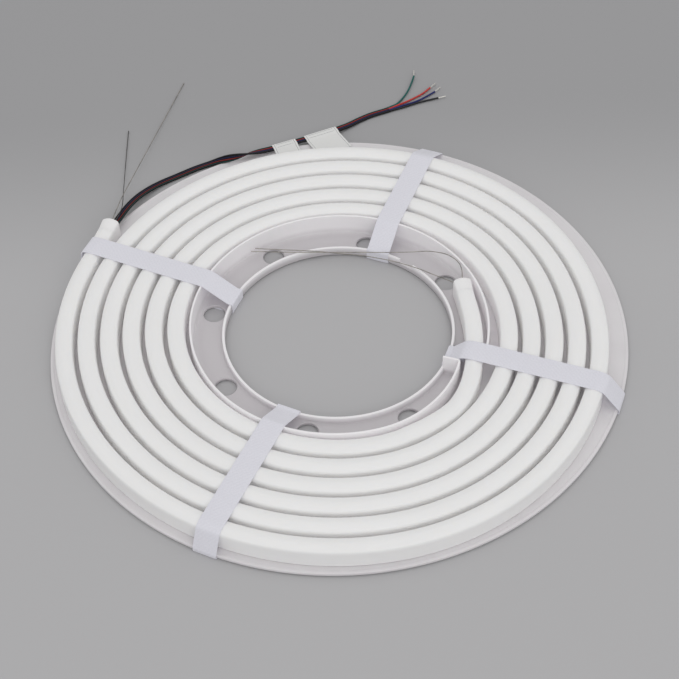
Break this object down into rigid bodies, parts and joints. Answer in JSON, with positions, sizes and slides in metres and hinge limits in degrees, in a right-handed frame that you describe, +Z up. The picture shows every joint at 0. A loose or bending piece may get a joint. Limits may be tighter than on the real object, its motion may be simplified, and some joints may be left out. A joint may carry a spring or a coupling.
{
  "type": "waterproof led strip",
  "caption": "Domed silicone LED light strip wound flat on an open moulded reel, held by fabric strap loops, with end caps, stiff wires and a flat four-core lead.",
  "frame": {"origin": "centre of the reel's open middle, at the level of the strap loops' undersides, which the roll rests on", "axes": "+Z up through the reel's middle; +Y towards the back, where the lead runs; +X towards the slot where the strip enters the reel"},
  "size_m": [0.386, 0.4686, 0.0189],
  "materials": {
    "reel": "satin moulded",
    "strip": "smooth milky silicone",
    "cap": "smooth silicone",
    "strap": "fine woven",
    "lead": "satin insulation",
    "core_green": "satin insulation",
    "core_red": "satin insulation",
    "core_blue": "satin insulation",
    "core_black": "satin insulation",
    "tinned": "tinned copper strands",
    "label": "matte label film",
    "wire": "drawn spring wire"
  },
  "bodies": {
    "root": {"reel": "reel", "neon_strip": "strip", "outer_end_cap": "cap", "inner_end_cap": "cap", "strap_back": "strap", "strap_left": "strap", "strap_front": "strap", "strap_right": "strap", "lead": "lead", "core_green": "core_green", "core_red": "core_red", "core_blue": "core_blue", "core_black": "core_black", "tip_green": "tinned", "tip_red": "tinned", "tip_blue": "tinned", "tip_black": "tinned", "cable_label_small": "label", "cable_label_flag": "label", "outer_wire_1": "wire", "outer_wire_2": "wire", "inner_wire_1": "wire", "inner_wire_2": "wire"}
  },
  "joints": []
}
